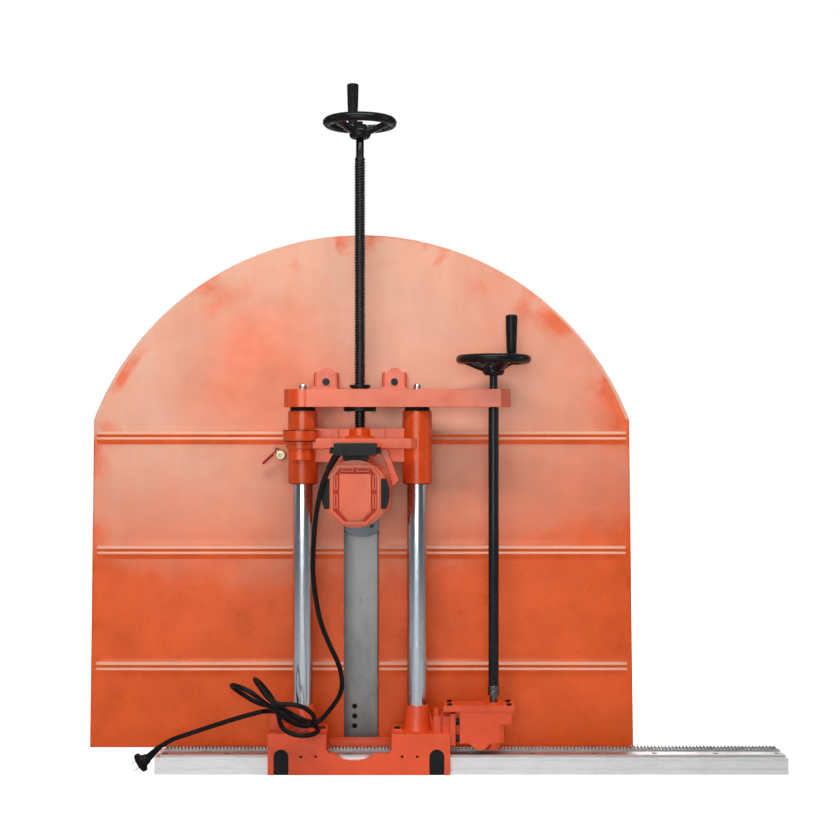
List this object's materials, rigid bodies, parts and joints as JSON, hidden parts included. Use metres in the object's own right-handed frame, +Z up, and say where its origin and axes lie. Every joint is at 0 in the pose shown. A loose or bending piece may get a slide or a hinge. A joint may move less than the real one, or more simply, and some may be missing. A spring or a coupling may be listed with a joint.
{
  "type": "rail-mounted wall saw",
  "caption": "Wall saw on a rack rail: travelling base with two columns, screw-fed motor carriage, handwheels and an arched blade guard.",
  "frame": {"origin": "on the rail's underside, below the lead screw's axis and midway between the columns", "axes": "+X along the rail towards the travel handwheel, +Y from the motor side towards the blade guard, +Z up"},
  "size_m": [1.573, 0.4405, 1.5539],
  "materials": {
    "rail_alloy": "extruded aluminium, clear anodised",
    "strip_steel": "ground hardened steel",
    "rack_steel": "milled steel",
    "black_screws": "black oxide steel",
    "base_paint": "orange powder coat on an aluminium casting",
    "insert_black": "black moulded wiper",
    "pad_plastic": "cast slide pad",
    "column_chrome": "hard chromed ground bar",
    "cap_steel": "plated steel",
    "bumper_rubber": "black rubber",
    "plate_paint": "orange powder coat on a machined plate",
    "nut_black": "black oxide flanged nut",
    "bronze": "bearing bronze",
    "guard_paint": "orange powder coat on aluminium sheet",
    "wear_steel": "scuffed bare steel",
    "brass": "cast brass",
    "lever_red": "red dipped steel",
    "black_steel": "black oxide steel",
    "handwheel_black": "black enamel on cast aluminium",
    "grip_plastic": "black moulded plastic",
    "gear_steel": "cut gear steel",
    "carriage_paint": "orange powder coat on an aluminium casting",
    "motor_paint": "orange enamel on an aluminium motor body",
    "vent_black": "black moulded louvre",
    "stator_core": "laminated core",
    "box_plastic": "black moulded plastic",
    "flange_steel": "turned steel",
    "cord_rubber": "black rubber sheathed cord"
  },
  "bodies": {
    "rail": {"rail_extrusion": "rail_alloy", "guide_strip": "strip_steel", "rack": "rack_steel", "rail_screws": "black_screws", "cord_tail": "cord_rubber", "plug": "box_plastic"},
    "base": {"base_casting": "base_paint", "arch_inserts": "insert_black", "slide_pads": "pad_plastic", "adjusting_screws": "black_screws", "base_bolts": "black_screws", "column_left": "column_chrome", "column_right": "column_chrome", "column_caps": "cap_steel", "bumpers": "bumper_rubber", "top_plate": "plate_paint", "feed_nut": "nut_black", "feed_nut_screws": "cap_steel", "tube_bush": "bronze", "guard_lug_left": "plate_paint", "guard_lug_right": "plate_paint", "lug_bolts": "black_screws", "guard_front_sheet": "guard_paint", "guard_rim": "guard_paint", "guard_back_sheet": "guard_paint", "wear_strip": "wear_steel", "strip_rivets": "wear_steel", "valve_body": "brass", "gearbox_housing": "base_paint", "gearbox_cover": "base_paint", "gearbox_screws": "black_screws", "cord_bundle": "cord_rubber", "cord_drop": "cord_rubber"},
    "travel_drive": {"travel_shaft": "black_steel", "worm": "gear_steel", "travel_handwheel": "handwheel_black"},
    "travel_handle": {"travel_grip": "grip_plastic"},
    "pinion": {"worm_wheel": "bronze", "pinion_shaft": "gear_steel"},
    "carriage": {"carriage_casting": "carriage_paint", "carriage_bushes": "bronze", "front_plate": "carriage_paint", "gearcase": "carriage_paint", "motor_housing": "motor_paint", "motor_end_cap": "motor_paint", "motor_vents": "vent_black", "stator": "stator_core", "switch_box": "box_plastic", "switch_screws": "box_plastic", "spindle_bearings": "gear_steel", "motor_bearings": "gear_steel", "cord_gland": "box_plastic"},
    "feed_drive": {"feed_screw": "black_steel", "feed_handwheel": "handwheel_black", "feed_hub_nut": "black_screws"},
    "feed_handle": {"feed_grip": "grip_plastic"},
    "rotor": {"armature": "gear_steel"},
    "spindle": {"spindle": "gear_steel", "blade_flange": "flange_steel"},
    "valve_stem": {"valve_lever": "lever_red"}
  },
  "joints": [
    {"name": "travel_wheel_turn", "type": "hinge", "parent": "base", "child": "travel_drive", "pos_m": [0.298, -0.024, 0.9], "axis": [0, 0, 1], "range_deg": [-4700, 13755]},
    {"name": "base_travel", "type": "slide", "parent": "rail", "child": "base", "axis": [1, 0, 0], "range_m": [-0.205, 0.6], "deforming": ["cord_tail"]},
    {"name": "pinion_turn", "type": "hinge", "parent": "base", "child": "pinion", "pos_m": [0.268, 0.015, 0.0701], "axis": [0, 1, 0], "range_deg": [-523, 1529]},
    {"name": "travel_grip_spin", "type": "hinge", "parent": "travel_drive", "child": "travel_handle", "pos_m": [0.34167, 0.03611, 0.95], "axis": [0, 0, 1], "continuous": true},
    {"name": "feed_slide", "type": "slide", "parent": "base", "child": "carriage", "axis": [0, 0, 1], "range_m": [-0.44, 0], "deforming": ["cord_drop"]},
    {"name": "feed_screw_turn", "type": "hinge", "parent": "carriage", "child": "feed_drive", "pos_m": [0, 0, 1], "axis": [0, 0, 1], "range_deg": [-26405, 5]},
    {"name": "feed_grip_spin", "type": "hinge", "parent": "feed_drive", "child": "feed_handle", "pos_m": [-0.01923, 0.07177, 1.48], "axis": [0, 0, 1], "continuous": true},
    {"name": "rotor_spin", "type": "hinge", "parent": "carriage", "child": "rotor", "pos_m": [0, -0.15, 0.628], "axis": [0, 1, 0], "continuous": true},
    {"name": "spindle_spin", "type": "hinge", "parent": "carriage", "child": "spindle", "pos_m": [0, 0.105, 0.5819], "axis": [0, 1, 0], "continuous": true},
    {"name": "valve_turn", "type": "hinge", "parent": "base", "child": "valve_stem", "pos_m": [-0.183, 0.07, 0.704], "axis": [-0.682, 0, 0.7314], "range_deg": [0, 90]}
  ],
  "couplings": [
    {"joint": "travel_wheel_turn", "follows": "base_travel", "rad_per_m": 400},
    {"joint": "pinion_turn", "follows": "base_travel", "rad_per_m": 44.444},
    {"joint": "feed_screw_turn", "follows": "feed_slide", "rad_per_m": 1047.2},
    {"joint": "spindle_spin", "follows": "rotor_spin", "ratio": -0.4375}
  ]
}
